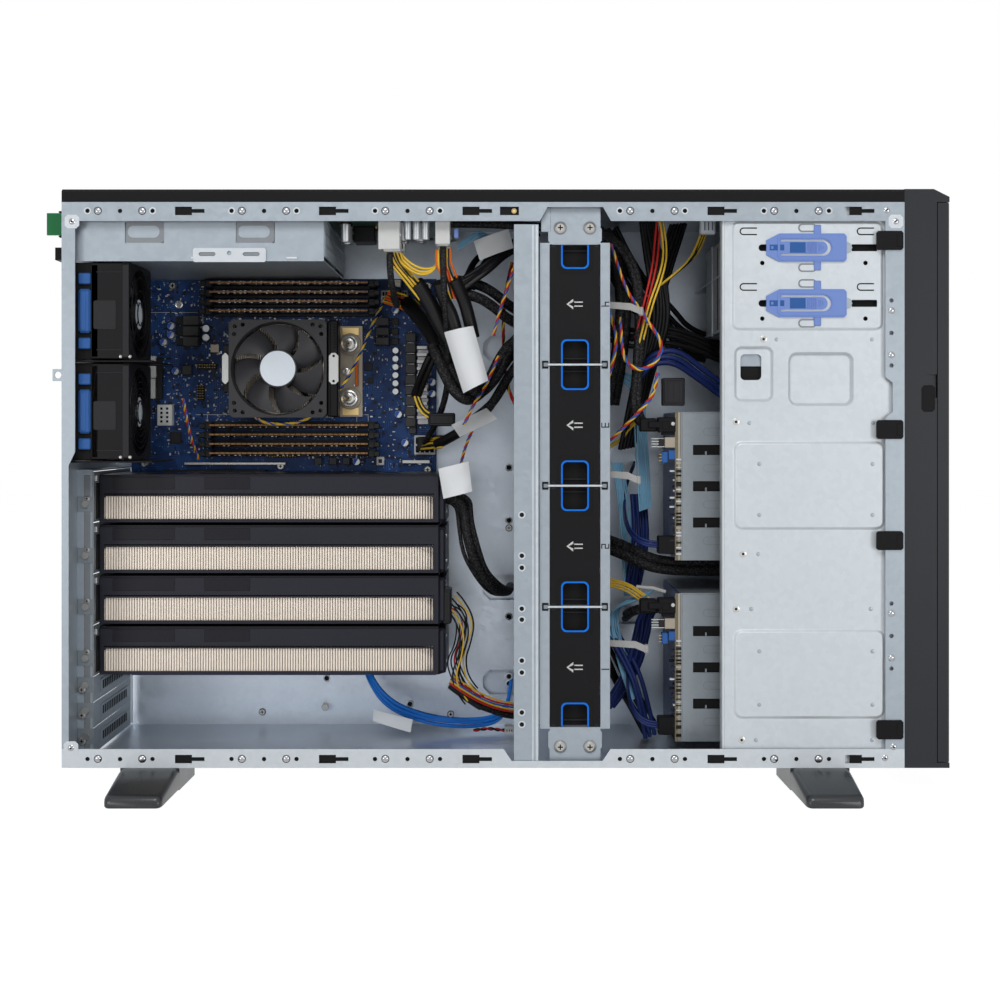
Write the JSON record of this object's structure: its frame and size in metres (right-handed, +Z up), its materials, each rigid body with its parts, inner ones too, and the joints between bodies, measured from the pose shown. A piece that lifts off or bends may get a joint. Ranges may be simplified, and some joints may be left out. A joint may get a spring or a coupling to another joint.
{
  "type": "tower workstation",
  "caption": "Tower workstation with its side cover off: steel case, swing-out feet, pull-out fans and supplies, graphics cards, drive bays and a hinged front door.",
  "frame": {"origin": "on the floor under the middle of the outer box", "axes": "+X to the front door, -Y to the open side, +Z up"},
  "size_m": [0.695, 0.293, 0.463],
  "materials": {
    "steel": "zinc-coated sheet, satin",
    "black_paint": "fine textured black paint",
    "black_plastic": "fine grain",
    "board": "blue solder mask over copper",
    "component": "moulded",
    "frame_metal": "plated",
    "heatsink": "bare, satin",
    "shroud": "satin slate",
    "fan_plastic": "moulded, glass filled",
    "supply_case": "plated sheet",
    "latch_blue": "moulded blue",
    "latch_green": "moulded green",
    "brass": "turned",
    "cable": "sleeved",
    "screw": "zinc"
  },
  "bodies": {
    "chassis": {"base_panel": "steel", "top_panel": "steel", "rear_panel": "steel", "front_frame": "steel", "motherboard_tray": "steel", "drive_bay_plate": "steel", "drive_cages": "steel", "fan_cage": "steel", "card_support_bracket": "steel", "psu_cage": "steel", "slot_covers": "steel", "card_brackets": "steel", "right_side_cover": "black_paint", "top_cover": "black_plastic", "front_bezel": "black_plastic", "intrusion_switch": "black_plastic", "drive_trays": "black_plastic", "motherboard": "board", "card_boards": "board", "power_board": "board", "drive_backplanes": "board", "memory_modules": "board", "board_components": "component", "memory_slots": "component", "cpu_socket_frame": "frame_metal", "cpu_heatsink": "heatsink", "card_fin_stacks": "heatsink", "card_shroud_1": "shroud", "card_shroud_2": "shroud", "card_shroud_3": "shroud", "card_shroud_4": "shroud", "cpu_fan_frame": "fan_plastic", "cable_harness": "cable", "chassis_screws": "screw"},
    "bezel_door": {"bezel_door": "black_plastic"},
    "power_button": {"power_button": "black_plastic"},
    "foot_rear_near": {"foot_rear_near": "black_plastic"},
    "foot_rear_far": {"foot_rear_far": "black_plastic"},
    "foot_front_near": {"foot_front_near": "black_plastic"},
    "foot_front_far": {"foot_front_far": "black_plastic"},
    "cpu_fan_rotor": {"cpu_fan_rotor": "fan_plastic"},
    "drive_latch_1": {"drive_latch_1": "latch_blue"},
    "drive_latch_2": {"drive_latch_2": "latch_blue"},
    "intrusion_plunger": {"intrusion_plunger": "brass"},
    "fan_module_1": {"fan_module_1": "fan_plastic"},
    "fan_module_2": {"fan_module_2": "fan_plastic"},
    "fan_module_3": {"fan_module_3": "fan_plastic"},
    "fan_module_4": {"fan_module_4": "fan_plastic"},
    "fan_rotor_1": {"fan_rotor_1": "fan_plastic"},
    "fan_rotor_2": {"fan_rotor_2": "fan_plastic"},
    "fan_rotor_3": {"fan_rotor_3": "fan_plastic"},
    "fan_rotor_4": {"fan_rotor_4": "fan_plastic"},
    "rear_fan_module_1": {"rear_fan_module_1": "fan_plastic"},
    "rear_fan_module_2": {"rear_fan_module_2": "fan_plastic"},
    "rear_fan_rotor_1": {"rear_fan_rotor_1": "fan_plastic"},
    "rear_fan_rotor_2": {"rear_fan_rotor_2": "fan_plastic"},
    "psu_module_1": {"psu_module_1": "supply_case"},
    "psu_module_2": {"psu_module_2": "supply_case"},
    "psu_latch_1": {"psu_latch_1": "latch_green"},
    "psu_latch_2": {"psu_latch_2": "latch_green"}
  },
  "joints": [
    {"name": "foot_rear_near_fold", "type": "hinge", "parent": "chassis", "child": "foot_rear_near", "pos_m": [-0.2651, -0.0655, 0], "axis": [0, 0, 1], "range_deg": [0, 90]},
    {"name": "foot_rear_far_fold", "type": "hinge", "parent": "chassis", "child": "foot_rear_far", "pos_m": [-0.2651, 0.0655, 0], "axis": [0, 0, 1], "range_deg": [-90, 0]},
    {"name": "foot_front_near_fold", "type": "hinge", "parent": "chassis", "child": "foot_front_near", "pos_m": [0.2482, -0.0655, 0], "axis": [0, 0, 1], "range_deg": [-90, 0]},
    {"name": "foot_front_far_fold", "type": "hinge", "parent": "chassis", "child": "foot_front_far", "pos_m": [0.2482, 0.0655, 0], "axis": [0, 0, 1], "range_deg": [0, 90]},
    {"name": "fan_module_1_slide", "type": "slide", "parent": "chassis", "child": "fan_module_1", "axis": [0, -1, 0], "range_m": [0, 0.12]},
    {"name": "fan_rotor_1_spin", "type": "hinge", "parent": "fan_module_1", "child": "fan_rotor_1", "pos_m": [0.0605, -0.0374, 0.0942], "axis": [1, 0, 0], "continuous": true},
    {"name": "fan_module_2_slide", "type": "slide", "parent": "chassis", "child": "fan_module_2", "axis": [0, -1, 0], "range_m": [0, 0.12]},
    {"name": "fan_rotor_2_spin", "type": "hinge", "parent": "fan_module_2", "child": "fan_rotor_2", "pos_m": [0.0605, -0.0374, 0.1874], "axis": [1, 0, 0], "continuous": true},
    {"name": "fan_module_3_slide", "type": "slide", "parent": "chassis", "child": "fan_module_3", "axis": [0, -1, 0], "range_m": [0, 0.12]},
    {"name": "fan_rotor_3_spin", "type": "hinge", "parent": "fan_module_3", "child": "fan_rotor_3", "pos_m": [0.0605, -0.0374, 0.2806], "axis": [1, 0, 0], "continuous": true},
    {"name": "fan_module_4_slide", "type": "slide", "parent": "chassis", "child": "fan_module_4", "axis": [0, -1, 0], "range_m": [0, 0.12]},
    {"name": "fan_rotor_4_spin", "type": "hinge", "parent": "fan_module_4", "child": "fan_rotor_4", "pos_m": [0.0605, -0.0374, 0.3738], "axis": [1, 0, 0], "continuous": true},
    {"name": "rear_fan_module_1_slide", "type": "slide", "parent": "chassis", "child": "rear_fan_module_1", "axis": [0, -1, 0], "range_m": [0, 0.1]},
    {"name": "rear_fan_rotor_1_spin", "type": "hinge", "parent": "rear_fan_module_1", "child": "rear_fan_rotor_1", "pos_m": [-0.292, -0.0442, 0.36872], "axis": [1, 0, 0], "continuous": true},
    {"name": "rear_fan_module_2_slide", "type": "slide", "parent": "chassis", "child": "rear_fan_module_2", "axis": [0, -1, 0], "range_m": [0, 0.1]},
    {"name": "rear_fan_rotor_2_spin", "type": "hinge", "parent": "rear_fan_module_2", "child": "rear_fan_rotor_2", "pos_m": [-0.292, -0.0442, 0.29112], "axis": [1, 0, 0], "continuous": true},
    {"name": "cpu_fan_rotor_spin", "type": "hinge", "parent": "chassis", "child": "cpu_fan_rotor", "pos_m": [-0.1809, 0.0109, 0.32782], "axis": [0, 1, 0], "continuous": true},
    {"name": "drive_latch_1_slide", "type": "slide", "parent": "chassis", "child": "drive_latch_1", "axis": [1, 0, 0], "range_m": [0, 0.008]},
    {"name": "drive_latch_2_slide", "type": "slide", "parent": "chassis", "child": "drive_latch_2", "axis": [1, 0, 0], "range_m": [0, 0.008]},
    {"name": "cover_switch_press", "type": "slide", "parent": "chassis", "child": "intrusion_plunger", "axis": [0, 1, 0], "range_m": [0, 0.003], "stiffness_N_per_m": 300},
    {"name": "psu_module_1_slide", "type": "slide", "parent": "chassis", "child": "psu_module_1", "axis": [-1, 0, 0], "range_m": [0, 0.19]},
    {"name": "psu_latch_1_press", "type": "hinge", "parent": "psu_module_1", "child": "psu_latch_1", "pos_m": [-0.3357, -0.0744, 0.43622], "axis": [0, 0, 1], "range_deg": [-12, 0], "stiffness_Nm_per_rad": 0.3},
    {"name": "psu_module_2_slide", "type": "slide", "parent": "chassis", "child": "psu_module_2", "axis": [-1, 0, 0], "range_m": [0, 0.19]},
    {"name": "psu_latch_2_press", "type": "hinge", "parent": "psu_module_2", "child": "psu_latch_2", "pos_m": [-0.3357, 0.0011, 0.43622], "axis": [0, 0, 1], "range_deg": [-12, 0], "stiffness_Nm_per_rad": 0.3},
    {"name": "bezel_door_swing", "type": "hinge", "parent": "chassis", "child": "bezel_door", "pos_m": [0.343, 0.0845, 0.23], "axis": [0, 0, 1], "range_deg": [0, 110]},
    {"name": "power_button_press", "type": "slide", "parent": "chassis", "child": "power_button", "axis": [0, 0, -1], "range_m": [0, 0.0012], "stiffness_N_per_m": 600}
  ]
}
